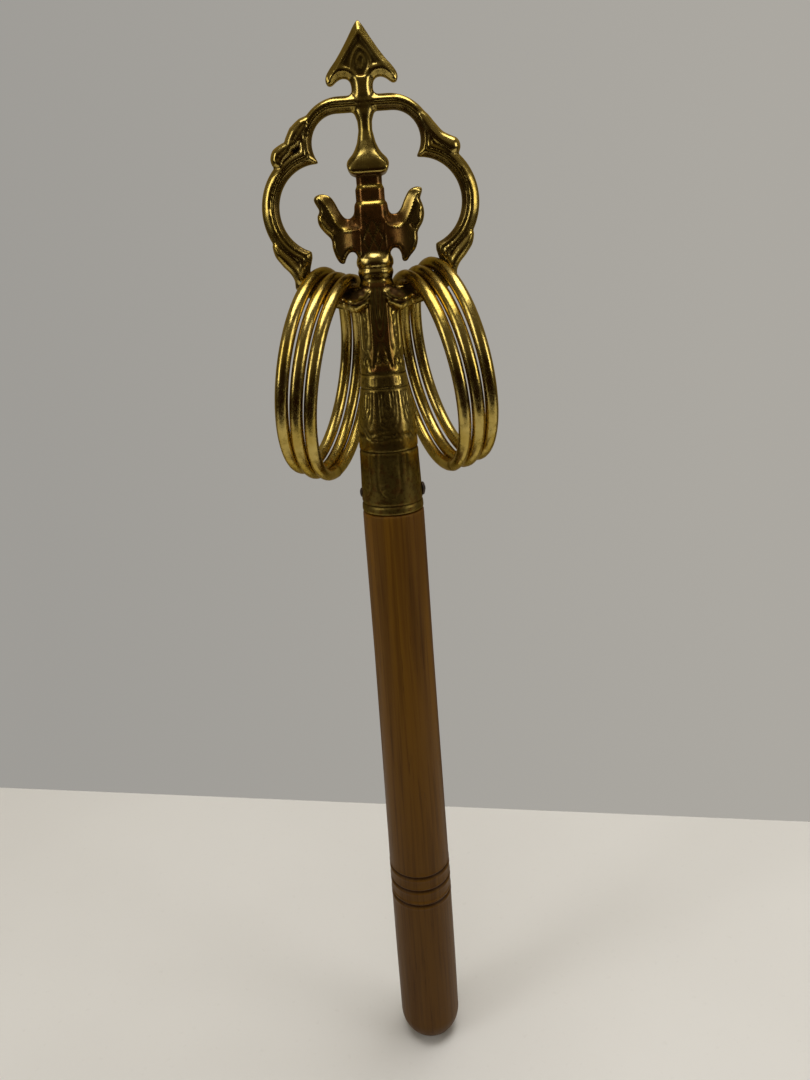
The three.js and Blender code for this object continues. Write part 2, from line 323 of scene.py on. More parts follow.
def wing_plan(px, pz, outline, crest, jaw, cleft):
    """A wing: it falls away above its crest, is flat below it and thickens towards the neck."""
    outline = curve_through(outline, 4)
    plan = outline_distance(px, pz, outline)
    edge = np.maximum(-plan, 0)
    crest_line = curve_through(crest, 5, closed=False)
    d_crest = line_distance(px, pz, crest_line)
    across = np.abs(crest_line[:, 0])
    order = np.argsort(across)
    above = pz > np.interp(np.abs(px), across[order], crest_line[order, 1])
    slope = 2.25 - 1.5 * d_crest / (d_crest + edge + 0.2)
    below = 1.35 + 0.75 * smoothstep(0, 1.0, edge)
    half = np.where(above, slope, below)
    half = half + 0.25 * stroke(d_crest, 0.35)
    for points, push in ((jaw, 0.3), (cleft, -0.5)):
        half = half + push * stroke(curve_distance(px, pz, points, 4), 0.34)
    half = half + 1.9 * smoothstep(9.5, 3.6, np.abs(px)) * (~above)
    half = half + 0.8 * smoothstep(6.5, 4.0, np.abs(px)) * above
    return plan, half


# Head: turned and faceted parts about the axis, as (height, half width)
NECK = [(275.0, 4.0), (276.4, 4.2), (286.4, 4.5), (287.9, 4.4), (288.5, 4.2), (288.9, 3.8),
        (291.8, 3.8), (292.3, 3.65), (292.7, 3.35), (295.2, 3.4), (295.5, 4.35), (296.1, 4.85),
        (297.0, 5.4), (298.0, 5.5), (298.9, 5.15), (300.2, 4.0), (301.4, 3.2), (303.0, 2.45),
        (305.9, 1.8), (308.0, 1.9), (309.4, 2.4), (310.4, 2.75), (313.6, 2.8), (314.8, 2.5),
        (316.4, 2.45), (317.8, 2.5)]
NECK_DEPTH = [(275.0, 3.6), (276.4, 3.8), (286.4, 4.25), (287.8, 4.2), (288.4, 3.95),
              (288.9, 3.45), (291.7, 3.5), (292.3, 3.3), (292.8, 2.95),
              (295.2, 3.2), (295.5, 4.1), (296.2, 4.5), (298.4, 4.3), (300.0, 3.75), (301.5, 3.1),
              (303.4, 2.45), (305.9, 2.05), (309.4, 2.4), (317.8, 2.4)]
SOCKET = [(204.7, 9.0), (205.2, 9.08), (207.3, 9.0), (219.3, 8.6), (228.0, 8.4), (236.4, 7.4),
          (244.8, 6.4), (253.0, 5.8), (261.0, 5.45), (266.4, 4.95), (268.2, 4.6), (269.3, 4.3),
          (270.2, 4.55), (271.1, 4.85), (271.7, 4.8), (272.1, 4.5), (272.5, 4.55), (273.0, 4.95),
          (274.0, 5.05), (274.8, 4.85), (275.5, 4.4), (276.2, 3.8), (276.6, 3.6)]
FACET = 0.6  # width of a chamfered side's flat over its half width
BELL_BASE = 295.3
BORE_RADIUS = 6.9
BORE_TOP = 228.0
PIN_HOLE = 1.05  # radius
CHASING_TOP = 268.5
CHASED_LINES = (244.4, 240.6, 223.0, 207.3)
CHASED_DEPTH = 0.42
LATTICE_MIDDLE, LATTICE_PITCH = 279.6, 2.7


def profile(table, z):
    heights, radii = zip(*table)
    return np.interp(z, heights, radii)


def spaced(turn, radius, folds, phase):
    """Arc length from the nearest of several lines spaced evenly round the axis."""
    step = 2 * math.pi / folds
    return (np.mod(turn - phase + step / 2, step) - step / 2) * radius


def between(z, low, high):
    return smoothstep(low - 0.3, low + 0.1, z) * smoothstep(high + 0.3, high - 0.1, z)


def petal_band(turn, z, radius):
    """Pointed petals on every other facet, and round tongues between them."""
    s = spaced(turn, radius, 4, 0.0)
    depth = 0
    for width, tip in ((1.55, 253.8), (0.6, 256.6)):
        wide = width * np.sqrt(np.clip((z - tip) / 4.2, 0, 1))
        depth = np.maximum(depth, stroke(np.abs(s) - wide) * between(z, tip, 267.2))
    s = spaced(turn, radius, 4, math.pi / 4)
    wide = 1.5 * np.sqrt(np.clip(1 - (np.clip(252.4 - z, 0, 9) / 1.6) ** 2, 0, 1))
    depth = np.maximum(depth, stroke(np.abs(s) - wide) * between(z, 250.8, 267.2))
    marks = stroke(s - 0.45 * np.sin(z * 1.9), 0.22) * between(z, 254.5, 265.5)
    return np.maximum(depth, 0.8 * marks * (np.sin(z * 4.1) > -0.5))


def scroll_band(turn, z, radius):
    """Arches over pairs of eyes under the petals, and forked eyes under the tongues."""
    s = spaced(turn, radius, 4, 0.0)
    arch = np.abs(s) - 0.5 - 0.28 * np.clip(253.2 - z, 0, 9) ** 1.05
    depth = stroke(arch) * between(z, 246.2, 252.8)
    depth = np.maximum(depth, stroke(np.hypot(np.abs(s) - 1.0, z - 248.2) - 0.75, 0.22))
    s = spaced(turn, radius, 4, math.pi / 4)
    depth = np.maximum(depth, stroke(np.hypot(s, z - 247.8) - 1.0, 0.22))
    fork = np.abs(s) - 0.3 * np.abs(z - 250.2)
    return np.maximum(depth, stroke(fork, 0.2) * between(z, 245.8, 249.6))


def tongue_band(turn, z, radius):
    """Small marks in the plain band, then nested tongues over a crinkled border."""
    s = spaced(turn, radius, 12, 0.1)
    depth = 0.55 * stroke(np.abs(s) - 0.5, 0.2) * between(z, 241.6, 243.4)
    s = spaced(turn, radius, 6, 0.09)
    for width, tip in ((2.85, 229.7), (1.95, 232.2), (1.05, 234.6)):
        drop = np.clip(tip + width - z, 0, 9) / width
        wide = width * np.sqrt(np.clip(1 - drop ** 2, 0, 1))
        depth = np.maximum(depth, stroke(np.abs(s) - wide, 0.27) * between(z, tip, 239.7))
    crinkle = wave_noise(turn * radius, z, 0 * z, 21, 0.42)
    return np.maximum(depth, 0.9 * smoothstep(-0.1, 0.5, crinkle) * between(z, 226.3, 229.3))


def worn_band(turn, z, radius):
    """Broad stippled tongues round a wavy leaf, worn nearly smooth."""
    s = spaced(turn, radius, 6, -0.06)
    fall = np.clip(213.4 - z, 0, 9) / 3.8
    wide = 3.3 * np.sqrt(np.clip(1 - fall ** 2, 0, 1))
    depth = 0.75 * stroke(np.abs(s) - wide, 0.28) * between(z, 209.7, 222.4)
    leaves = np.abs(s) - 1.25 * np.abs(np.sin((z - 208.9) * 0.86))
    depth = np.maximum(depth, 0.4 * stroke(leaves, 0.25) * between(z, 211.4, 219.2))
    speckle = wave_noise(turn * radius, z, 0 * z, 23, 0.55)
    stippled = (np.abs(s) < wide - 0.5) * between(z, 211.0, 221.0)
    return np.maximum(depth, 0.45 * smoothstep(0.3, 0.9, speckle) * stippled)


def engraved(turn, z, radius):
    """Depth (0 to 1) of the chased ornament on the socket at an angle and height."""
    depth = 0 * (turn + z)
    for height in CHASED_LINES:
        depth = np.maximum(depth, stroke(z - height, 0.3))
    for band in (petal_band, scroll_band, tongue_band, worn_band):
        depth = np.maximum(depth, band(turn, z, radius))
    worn = 0.78 + 0.3 * wave_noise(turn * radius, z, 0 * z, 5, 2.6)
    return depth * np.clip(worn, 0.5, 1)


def lattice(x, z):
    """Crossing lines cut into the block between the wings."""
    slant = 0.52 * (z - LATTICE_MIDDLE)
    cut = 0
    for w in (x + slant, x - slant):
        d = (np.mod(w + LATTICE_PITCH / 2, LATTICE_PITCH) - LATTICE_PITCH / 2) * 0.88
        cut = np.maximum(cut, stroke(d, 0.22))
    inside = smoothstep(4.0, 3.2, np.abs(x) + 0.35 * np.abs(z - 279.8))
    return cut * inside * smoothstep(275.6, 276.4, z) * smoothstep(285.0, 283.6, z)


def plates(px, pz):
    """Every flat ornament as (plan distance, half depth, rounding of its edges)."""
    ring_plan, ring_half = loop_and_leaves(px, pz)
    arrow, arrow_half = arrow_plan(px, pz)
    left, left_half = wing_plan(px, pz, WING_LEFT, CREST_LEFT, JAW_LEFT, CLEFT_LEFT)
    right, right_half = wing_plan(px, pz, WING_RIGHT, CREST_RIGHT, JAW_RIGHT, CLEFT_RIGHT)
    return [(ring_plan, ring_half, 0.55), (arrow, arrow_half, 0.5), (left, left_half, 0.5),
            (right, right_half, 0.5)]


def neck_solid(x, y, z):
    """The collar's block, the stepped neck, the bell and the stem."""
    ax, ay = np.abs(x), np.abs(y)
    width = profile(NECK, z)
    deep = ay * width / profile(NECK_DEPTH, z)
    bell = mix(0.92, 0.55, smoothstep(296.0, 299.3, z))
    flat = np.where(z > BELL_BASE, bell, FACET)
    square = smooth_max(np.maximum(ax, deep), (ax + deep) / (1 + flat), 0.35)
    waisted = smoothstep(299.2, 301.5, z)
    neck = mix(square, np.hypot(x, deep), 0.75 * waisted) - width
    neck = neck + 0.3 * lattice(x, z) * (ay > ax * 0.7)
    return np.maximum(neck, np.maximum(275.2 - z, z - 317.6))


def socket_solid(x, y, z):
    """The collar and the socket: round below, eight-sided above, and chased."""
    ax, ay = np.abs(x), np.abs(y)
    eight = np.maximum(np.maximum(ax, ay), (ax + ay) * math.sqrt(0.5))
    facets = smoothstep(243.0, 262.0, z) * smoothstep(270, 268, z)
    radius = profile(SOCKET, z)
    socket = mix(np.hypot(x, y), eight, facets) - radius
    chasing = engraved(np.arctan2(x, -y), z, radius) * (z < CHASING_TOP)
    socket = socket + CHASED_DEPTH * chasing
    return np.maximum(socket * 0.97, np.maximum(RIM - z, z - 276.4))


def bore_solid(x, y, z):
    cone = np.minimum(BORE_TOP - z, 0) * 1.7
    return np.maximum(np.hypot(x, y) - BORE_RADIUS - cone, z - BORE_TOP - 4)


SCROLL = [((7.4, 0.9, 264.5), 2.5), ((5.9, 2.6, 264.0), 2.85), ((4.3, 3.5, 264.8), 2.4),
          ((3.2, 4.1, 266.2), 1.6)]
SCROLL_BACK = [((5.6, 0.9, 264.2), 2.4), ((4.2, 1.7, 264.2), 2.2), ((3.4, 2.6, 265.0), 1.6)]


def scrolls(x, y, z):
    """Where each arm curls round to the front and the back of the socket."""
    ax = np.abs(x)
    best = 1e3
    for chain, side in ((SCROLL, -1), (SCROLL_BACK, 1)):
        for (a, ra), (b, rb) in zip(chain[:-1], chain[1:]):
            a, b = (np.array((p[0], side * p[1], p[2])) for p in (a, b))
            e = b - a
            t = ((ax - a[0]) * e[0] + (y - a[1]) * e[1] + (z - a[2]) * e[2]) / (e @ e)
            t = np.clip(t, 0, 1)
            d = np.sqrt((ax - a[0] - t * e[0])**2 + (y - a[1] - t * e[1])**2
                        + (z - a[2] - t * e[2])**2)
            best = smooth_min(best, d - mix(ra, rb, t), 0.4)
    return best + 0.3 * scroll_groove(ax, z) + 0.35 * scroll_cup(ax, z)


def scroll_line(ax):
    """Height of the scroll's lip, away from the axis."""
    return 263.8 + 0.12 * (ax - 6.4) ** 2


def scroll_groove(ax, z):
    return stroke(z - scroll_line(ax) + 0.55, 0.32) * (ax > 1.8) * (ax < 9.5)


def scroll_cup(ax, z):
    above = z - scroll_line(ax)
    return smoothstep(0.3, 1.6, above) * smoothstep(4.2, 2.2, above)


def head_field(x, y, z):
    """Signed distance, near the surface, of the whole casting. x, y and z broadcast."""
    px, pz = np.broadcast_arrays(x[:, 0, :], z[:, 0, :])
    solid = smooth_min(neck_solid(x, y, z), socket_solid(x, y, z), 0.5)
    for plan, half, ease in plates(px, pz):
        plate = smooth_max(plan[:, None, :], np.abs(y) - half[:, None, :], ease)
        solid = smooth_min(solid, plate, 0.7)
    if z.max() > 255 and z.min() < 275:
        solid = smooth_min(solid, scrolls(x, y, z), 0.5)
    solid = smooth_max(solid, -bore_solid(x, y, z), 0.25)
    hole = np.maximum(np.hypot(y, z - PIN_HEIGHT) - PIN_HOLE, 5 - np.abs(x))
    return np.maximum(solid, -hole)


# Sampled solid to mesh
def surface_net(field, origin, step):
    """Vertices and quads of the surface where field changes sign."""
    inside = field < 0
    count = np.zeros([n - 1 for n in field.shape], np.int8)
    corners = [(i, j, k) for i in (0, 1) for j in (0, 1) for k in (0, 1)]
    for i, j, k in corners:
        count += inside[i:i + count.shape[0], j:j + count.shape[1], k:k + count.shape[2]]
    active = (count > 0) & (count < 8)
    ids = np.full(active.shape, -1, np.int64)
    cells = np.argwhere(active)
    ids[active] = np.arange(len(cells))
    values = {c: field[tuple((cells + c).T)] for c in corners}
    total, hits = np.zeros((len(cells), 3)), np.zeros(len(cells))
    for a in corners:
        for axis in range(3):
            if a[axis]:
                continue
            b = tuple(v + (i == axis) for i, v in enumerate(a))
            va, vb = values[a], values[b]
            cross = (va < 0) != (vb < 0)
            t = np.where(cross, va / np.where(cross, va - vb, 1), 0)
            point = np.array(a, float)[None, :].repeat(len(cells), 0)
            point[:, axis] += t
            total[cross] += point[cross]
            hits += cross
    verts = origin + step * (cells + total / hits[:, None])
    faces = []
    for axis in range(3):
        u, v = (axis + 1) % 3, (axis + 2) % 3
        near = [slice(1, -1)] * 3
        far = [slice(1, -1)] * 3
        near[axis], far[axis] = slice(0, -1), slice(1, None)
        change = inside[tuple(near)] != inside[tuple(far)]
        at = np.argwhere(change)
        at[:, u] += 1
        at[:, v] += 1
        out = inside[tuple(at.T)]
        du, dv = np.eye(3, dtype=int)[u], np.eye(3, dtype=int)[v]
        quad = np.stack([ids[tuple((at + o).T)] for o in (-du - dv, -dv, 0 * du, -du)], 1)
        quad[~out] = quad[~out][:, ::-1]
        faces.append(quad)
    return verts, np.concatenate(faces)


def neighbour_mean(values, faces):
    """Mean of each vertex's neighbours along the quads' edges."""
    total = np.zeros_like(values)
    hits = np.zeros(len(values))
    for i in range(4):
        a, b = faces[:, i], faces[:, (i + 1) % 4]
        for s, t in ((a, b), (b, a)):
            for c in range(values.shape[1]):
                total[:, c] += np.bincount(s, values[t, c], len(values))
            hits += np.bincount(s, minlength=len(values))
    return total / hits[:, None]


def vertex_normals(verts, faces):
    n = np.cross(verts[faces[:, 2]] - verts[faces[:, 0]], verts[faces[:, 3]] - verts[faces[:, 1]])
    out = np.zeros_like(verts)
    for i in range(4):
        for c in range(3):
            out[:, c] += np.bincount(faces[:, i], n[:, c], len(verts))
    return out / np.maximum(np.linalg.norm(out, axis=1, keepdims=True), 1e-9)


def hollowness(verts, faces, rounds):
    """How far each vertex lies under its smoothed neighbourhood: above 0 in a recess, in mm."""
    smooth = verts.copy()
    for _ in range(rounds):
        smooth = mix(smooth, neighbour_mean(smooth, faces), 0.8)
    return np.einsum("ij,ij->i", smooth - verts, vertex_normals(verts, faces))


def in_scene(name, data):
    obj = bpy.data.objects.new(name, data)
    bpy.context.scene.collection.objects.link(obj)
    return obj


def new_mesh(name, verts, faces, attributes=None):
    """An object from vertices in millimetres above the butt's tip, shaded smooth."""
    mesh = bpy.data.meshes.new(name)
    verts = np.asarray(verts, float) * MM
    verts[:, 2] += BASE_Z
    mesh.vertices.add(len(verts))
    mesh.vertices.foreach_set("co", verts.astype(np.float32).ravel())
    mesh.loops.add(faces.size)
    mesh.loops.foreach_set("vertex_index", faces.astype(np.int32).ravel())
    mesh.polygons.add(len(faces))
    mesh.polygons.foreach_set("loop_start", np.arange(0, faces.size, 4, dtype=np.int32))
    mesh.update(calc_edges=True)
    mesh.validate()
    mesh.shade_smooth()
    for key, values in (attributes or {}).items():
        layer = mesh.attributes.new(key, "FLOAT", "POINT")
        layer.data.foreach_set("value", np.asarray(values, np.float32))
    return in_scene(name, mesh)


def loop_polish(x, z):
    """Bright rolls and a brown inner face."""
    on_arm = smoothstep(273, 270, z) * (np.abs(x) < 19.5)
    ledge = mix(LEDGE, ARM_LEDGE, on_arm)
    inner_face = smoothstep(ledge + 0.3, ledge - 0.1, np.maximum(loop_plan(x, z)[1], 0))
    return mix(1 - 0.75 * inner_face, 0.6 - 0.55 * inner_face, on_arm)


def wing_polish(x, z):
    """Bright crests, and horns brighter than the body."""
    crest = np.minimum(line_distance(x, z, np.array(CREST_LEFT)),
                       line_distance(x, z, np.array(CREST_RIGHT)))
    return 0.2 + 0.2 * smoothstep(7.5, 11, np.abs(x)) + 0.5 * stroke(crest, 0.5)


def column_polish(x, y, z):
    """Brown, with bright ledges, lattice lines and collar."""
    ledges = (stroke(z - 288.5, 0.45) + stroke(z - 292.5, 0.45)) * (np.abs(x) < 3.4)
    lines = lattice(x, z) * (np.abs(y) > 3)
    return 0.1 + 0.8 * ledges + 0.55 * lines + 0.75 * smoothstep(276.8, 275.8, z)


def arrow_polish(x, z):
    side = line_distance(np.abs(x), z, np.array(ARROW_RIM))
    return 0.6 + 0.35 * stroke(side, 1.8)


def socket_patina_and_side_highlight(x, y, z):
    """Above, painted highlight on the left and right facets and brown patina between; below, even."""
    sideways = np.abs(np.sin(np.arctan2(x, -y)))
    return mix(0.45, 0.26 + 0.74 * smoothstep(0.45, 0.7, sideways), smoothstep(216, 228, z))


def scroll_painted_highlight(x, z):
    """Painted highlight: a bright streak along the lip and a bright underside."""
    above = z - scroll_line(np.abs(x))
    return 0.9 * stroke(above - 0.45, 0.35) + 0.8 * smoothstep(-0.6, -1.0, above)


def polish_and_highlight_map(x, y, z):
    """1 where handling and buffing keep the brass bright, and on the scrolls' lips and the socket's side
    facets where highlight is painted; 0 where the brown patina is whole.
    """
    ax = np.abs(x)
    stem = (ax < 3.3) & (z >= 309.5) & (z < 318)
    zones = [((ax < 15.4) & (z > 273) & (z < 292.4), wing_polish(x, z)),
             ((ax < 5.6) & (z > 268.8) & (z < 295.7), column_polish(x, y, z)),
             ((ax < 6) & (z >= 295.7) & (z < 309.5), 0.6),
             (stem, 0.8),
             ((z > 315.6) & ~stem, arrow_polish(x, z)),
             ((z < 268.8) & (np.hypot(x, y) < profile(SOCKET, z) + 0.4), socket_patina_and_side_highlight(x, y, z)),
             ((scrolls(x, y, z) < 0.5) & (z < 269.5), scroll_painted_highlight(x, z))]
    polish_and_highlight = loop_polish(x, z)
    for zone, value in zones:
        polish_and_highlight = np.where(zone, value, polish_and_highlight)
    return np.clip(polish_and_highlight + 0.14 * wave_noise(x, y, z, 31, 3.1) * (polish_and_highlight > 0.15), 0, 1)


def sampled_head():
    """The casting's distances on a grid round it, and the grid's low corner."""
    low = np.array([-29.7, -9.9, RIM - 0.75])
    size = (59.4, 19.8, TIP + 1.2 - low[2])
    shape = [int(round(n / GRID)) + 1 for n in size]
    x, y, z = (low[i] + GRID * np.arange(shape[i]) for i in range(3))
    field = np.empty(shape, np.float32)
    for k in range(0, shape[2], SLAB):
        levels = z[None, None, k:k + SLAB]
        field[:, :, k:k + SLAB] = head_field(x[:, None, None], y[None, :, None], levels)
    return field, low


def head_attributes(verts, faces):
    """What the head's material needs to know at each vertex."""
    x, y, z = verts.T
    ax = np.abs(x)
    radius = profile(SOCKET, z)
    on_socket = (z < CHASING_TOP) & (np.hypot(x, y) > radius - 0.8)
    chased_and_scroll_shade = engraved(np.arctan2(x, -y), z, radius) * on_socket
    polish_and_highlight = np.maximum(polish_and_highlight_map(x, y, z), 3 * chased_and_scroll_shade * (1 - chased_and_scroll_shade))
    # Painted shade: the scrolls' cups and grooves are darkened through the chased mark.
    hollow = np.maximum(scroll_groove(ax, z), 0.75 * scroll_cup(ax, z))
    chased_and_scroll_shade = np.where(scrolls(x, y, z) < 0.6, 0.9 * hollow, chased_and_scroll_shade)
    between_wings = (ax < 15.5) & (z > 273) & (z < 295.7)
    red = between_wings * mix(0.25, 1.0, smoothstep(10.0, 5.5, ax)) + (on_socket & (z > 245.5))
    return {"recess": hollowness(verts, faces, 9), "broad": hollowness(verts, faces, 60),
            "chased_and_scroll_shade": chased_and_scroll_shade, "polish_and_highlight": polish_and_highlight, "red": red}


def build_head():
    field, low = sampled_head()
    verts, faces = surface_net(field, low, GRID)
    for amount in (0.6, -0.3):
        verts = mix(verts, neighbour_mean(verts, faces), amount)
    return new_mesh("head_casting_brass", verts, faces, head_attributes(verts, faces))


# Lathe and torus meshes
def wrapped_faces(rows, columns, close_rows=False):
    i, j = np.meshgrid(np.arange(rows if close_rows else rows - 1), np.arange(columns), indexing="ij")
    a = i * columns + j
    b = i * columns + (j + 1) % columns
    c = ((i + 1) % rows) * columns + (j + 1) % columns
    d = ((i + 1) % rows) * columns + j
    return np.stack([a.ravel(), b.ravel(), c.ravel(), d.ravel()], 1)


def lathe(name, points, columns, shape):
    """Profile of (radius, height) turned about the axis; shape(turn, height) scales the radius."""
    points = np.array(points, float)
    turn = np.linspace(0, 2 * np.pi, columns, endpoint=False)
    radius = points[:, :1] * shape(turn[None, :], points[:, 1:])
    height = points[:, 1:] + 0 * turn
    verts = np.stack([radius * np.sin(turn), -radius * np.cos(turn), height], -1).reshape(-1, 3)
    return new_mesh(name, verts, wrapped_faces(len(points), columns))


GROOVES = (65.0, 71.1, 76.6)
GROOVE_REACH = 1.5
HANDLE_TOP = RIM - 0.3
BUTT_RADIUS, BUTT_FLAT = 10.6, 4.0  # of the dome, and of the flat under it
TENON_RADIUS = 6.6
TENON_TOP = 226.5


def grip_radius(height):
    return np.interp(height, [0, 36, 72, 120.8, 157.5, 197.5, 204.4],
                     [10.6, 10.59, 10.36, 9.76, 9.36, 9.17, 9.1])


def turned_radius(height):
    """The grip's radius with the grooves cut and a soft lip raised on each side of them."""
    away = [abs(height - groove) for groove in GROOVES]
    depth = sum(0.62 * math.exp(-(d / 0.5) ** 2) for d in away)
    lip = sum(0.1 * math.exp(-((d - 1.05) / 0.4) ** 2) for d in away)
    return float(grip_radius(height)) - depth + lip


def handle_outline():
    """(radius, height) points from the butt's flat up to the tenon's end."""
    drop = BUTT_RADIUS - math.sqrt(BUTT_RADIUS**2 - BUTT_FLAT**2)
    butt = [(AXIS, 0.0), (2.0, 0.0), (3.5, 0.02)]
    for angle in np.radians(np.linspace(-66, 0, 22)):
        butt.append((BUTT_RADIUS * math.cos(angle), BUTT_RADIUS * (1 + math.sin(angle)) - drop))
    heights = [h for h in np.arange(10.5, HANDLE_TOP - 0.9, 0.8)
               if min(abs(h - groove) for groove in GROOVES) > GROOVE_REACH]
    for groove in GROOVES:
        heights += list(np.arange(groove - GROOVE_REACH, groove + GROOVE_REACH + 0.01, 0.15))
    body = [(turned_radius(h), h) for h in sorted(heights)]
    end = [(9.08, HANDLE_TOP - 0.5), (8.95, HANDLE_TOP - 0.12), (8.6, HANDLE_TOP),
           (TENON_RADIUS + 0.1, HANDLE_TOP), (TENON_RADIUS, HANDLE_TOP + 0.2),
           (TENON_RADIUS, TENON_TOP - 0.5), (TENON_RADIUS - 0.5, TENON_TOP), (AXIS, TENON_TOP)]
    return butt + body + end


def build_handle():
    def uneven(turn, height):
        return (1 + 0.004 * np.sin(2 * turn + 0.6 + height * 0.006)
                + 0.002 * np.sin(3 * turn + height * 0.02))
    return lathe("handle_wood", handle_outline(), 120, uneven)


PIN_RADIUS = 0.8


def build_pin(side, proud, head):
    """A pin with a slightly battered dome of radius head, moved out by proud from the CAD pin's."""
    node = "pin_left" if side < 0 else "pin_right"
    low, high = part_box(node)
    inner, tip = sorted((abs(low.x) / MM, abs(high.x) / MM))
    seat = tip - 1.0
    points = [(AXIS, inner), (0.55, inner), (PIN_RADIUS, inner + 0.3), (PIN_RADIUS, seat - 0.6 + proud),
              (PIN_RADIUS + 0.02, seat - 0.02 + proud), (head - 0.1, seat + proud),
              (head + 0.02, seat + 0.15 + proud)]
    for angle in np.radians(np.linspace(8, 84, 9)):
        points.append((head * math.cos(angle), seat + 0.3 + 0.7 * math.sin(angle) + proud))
    points = np.array(points + [(AXIS, tip + proud)])
    columns = 32
    turn = np.linspace(0, 2 * np.pi, columns, endpoint=False)
    radius = points[:, :1] * (1 + 0.05 * np.sin(3 * turn + side) * (points[:, :1] > 1))
    along = points[:, 1:] + 0.08 * np.sin(2 * turn) * (points[:, 1:] > seat + 0.5)
    verts = np.stack([side * along, side * radius * np.cos(turn), PIN_HEIGHT + radius * np.sin(turn)], -1)
    return new_mesh(node + "_iron", verts.reshape(-1, 3), wrapped_faces(len(points), columns))


RING_RADIUS = 27.0
WIRE_RADIUS = 1.745


def build_ring(node, joint, seed):
    """A brass ring: drawn wire bent round and brazed where it meets, opposite its hanging point."""
    low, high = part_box(node)
    centre = (low + high) / 2
    axis = Vector(joint["axis"]).normalized()
    up = Vector(joint["pos_m"]) - centre
    up = (up - axis * up.dot(axis)).normalized()
    side = axis.cross(up)
    rows, columns = 200, 22
    around = np.linspace(0, 2 * np.pi, rows, endpoint=False)[:, None]
    about = np.linspace(0, 2 * np.pi, columns, endpoint=False)[None, :]
    joint_at = math.pi + np.random.default_rng(seed).uniform(-0.35, 0.35)
    near = stroke(around - joint_at, 0.035)
    thick = WIRE_RADIUS * (1 - 0.01 * np.abs(np.sin(3 * around + seed)))
    flats = 0.008 * np.cos(5 * about + 2 * np.sin(around * 2 + seed)) - 0.008
    lump = 0.2 * near * np.clip(np.abs(np.cos(about)) - 0.25, 0, 1)
    seam = -0.05 * stroke(around - joint_at - 0.006, 0.008)
    tube = thick * (1 + flats) + lump + seam
    bent = RING_RADIUS + 0.16 * np.sin(2 * around + seed) * (1 - stroke(around, 0.6))
    out = (bent + tube * np.cos(about))[..., None]
    lift = (tube * np.sin(about))[..., None]
    u, v, w = (np.array(a) for a in (up, side, axis))
    point = np.array(centre) / MM + lift * w
    point = point + out * (np.cos(around)[..., None] * u + np.sin(around)[..., None] * v)
    point[..., 2] -= BASE_Z / MM
    # Painted shade: each ring is darkened near its top, where it hangs under the loop's arm.
    from_top = np.minimum(around, 2 * np.pi - around)
    attributes = {"braze": (near + 0 * about).ravel(),
                  "hanging_shade": (stroke(from_top, 0.5) + 0 * about).ravel(),
                  "inside": (np.clip(-np.cos(about), 0, 1) + 0 * around).ravel()}
    faces = wrapped_faces(rows, columns, True)
    return new_mesh(node + "_brass", point.reshape(-1, 3), faces, attributes)


# Materials
class Nodes:
    """Short forms for building the nodes of a material or a world."""

    def __init__(self, owner):
        owner.use_nodes = True
        self.owner = owner
        self.tree = owner.node_tree
        self.shader = self.tree.nodes.get("Principled BSDF")
        self.coordinates = self.node("TexCoord").outputs

    def put(self, socket, value):
        if hasattr(value, "is_linked"):
            self.tree.links.new(value, socket)
        elif isinstance(value, tuple) and len(value) == 3 and socket.type == "RGBA":
            socket.default_value = (*value, 1)
        else:
            socket.default_value = value

    def node(self, kind, inputs=(), **settings):
        """A new node with its first inputs linked or set, in order, or its named ones from a dict."""
        node = self.tree.nodes.new("ShaderNode" + kind)
        for name, value in settings.items():
            setattr(node, name, value)
        keys = inputs if isinstance(inputs, dict) else range(len(inputs))
        for key in keys:
            self.put(node.inputs[key], inputs[key])
        return node

    def surface(self, **inputs):
        """Set the shader's inputs, with _ for the space in a name, and return the material."""
        for name, value in inputs.items():
            self.put(self.shader.inputs[name.replace("_", " ")], value)
        return self.owner

    def noise(self, scale, detail, stretch=(1, 1, 1), rough=0.5, distortion=0.0):
        place = self.node("Mapping", {"Vector": self.coordinates["Object"], "Scale": stretch})
        inputs = {"Vector": place.outputs[0], "Scale": scale, "Detail": detail, "Roughness": rough,
                  "Distortion": distortion}
        return self.node("TexNoise", inputs).outputs["Fac"]

    def attribute(self, name):
        return self.node("Attribute", attribute_name=name).outputs["Fac"]

    def height(self):
        return self.node("SeparateXYZ", [self.coordinates["Object"]]).outputs["Z"]

    def ranged(self, value, low, high, to_low=0.0, to_high=1.0):
        inputs = (value, low, high, to_low, to_high)
        return self.node("MapRange", inputs, interpolation_type="SMOOTHSTEP").outputs[0]

    def math(self, operation, *inputs, clamp=False):
        return self.node("Math", inputs, operation=operation, use_clamp=clamp).outputs[0]

    def blend(self, factor, a, b, kind="MIX"):
        return self.node("Mix", {0: factor, 6: a, 7: b}, data_type="RGBA", blend_type=kind).outputs[2]

    def bump(self, height, distance, strength, after=None):
        inputs = {"Strength": strength, "Distance": distance, "Height": height}
        if after is not None:
            inputs["Normal"] = after
        return self.node("Bump", inputs).outputs[0]

    def ramp(self, value, stops):
        node = self.node("ValToRGB", [value])
        elements = node.color_ramp.elements
        while len(elements) < len(stops):
            elements.new(0.5)
        for element, (at, colour) in zip(elements, stops):
            element.position = at
            element.color = (*colour, 1)
        return node.outputs[0]


# Brass, from where it is rubbed bright to where dirt fills it; the gold also paints highlight on the
# scrolls and the socket's sides, and the tarnish colour paints shade on the rings' tops
POLISHED = (0.4, 0.285, 0.06)
PALE = (0.49, 0.37, 0.11)
OLIVE = (0.22, 0.16, 0.034)
BROWN = (0.13, 0.053, 0.0115)
OLIVE_BROWN = (0.12, 0.078, 0.018)
TARNISH_AND_SHADE = (0.075, 0.038, 0.008)
DARK = (0.02, 0.01, 0.002)
DULL = (0.15, 0.105, 0.024)
EDGE_TINT = (0.9, 0.72, 0.42, 1)  # of reflections at a grazing angle


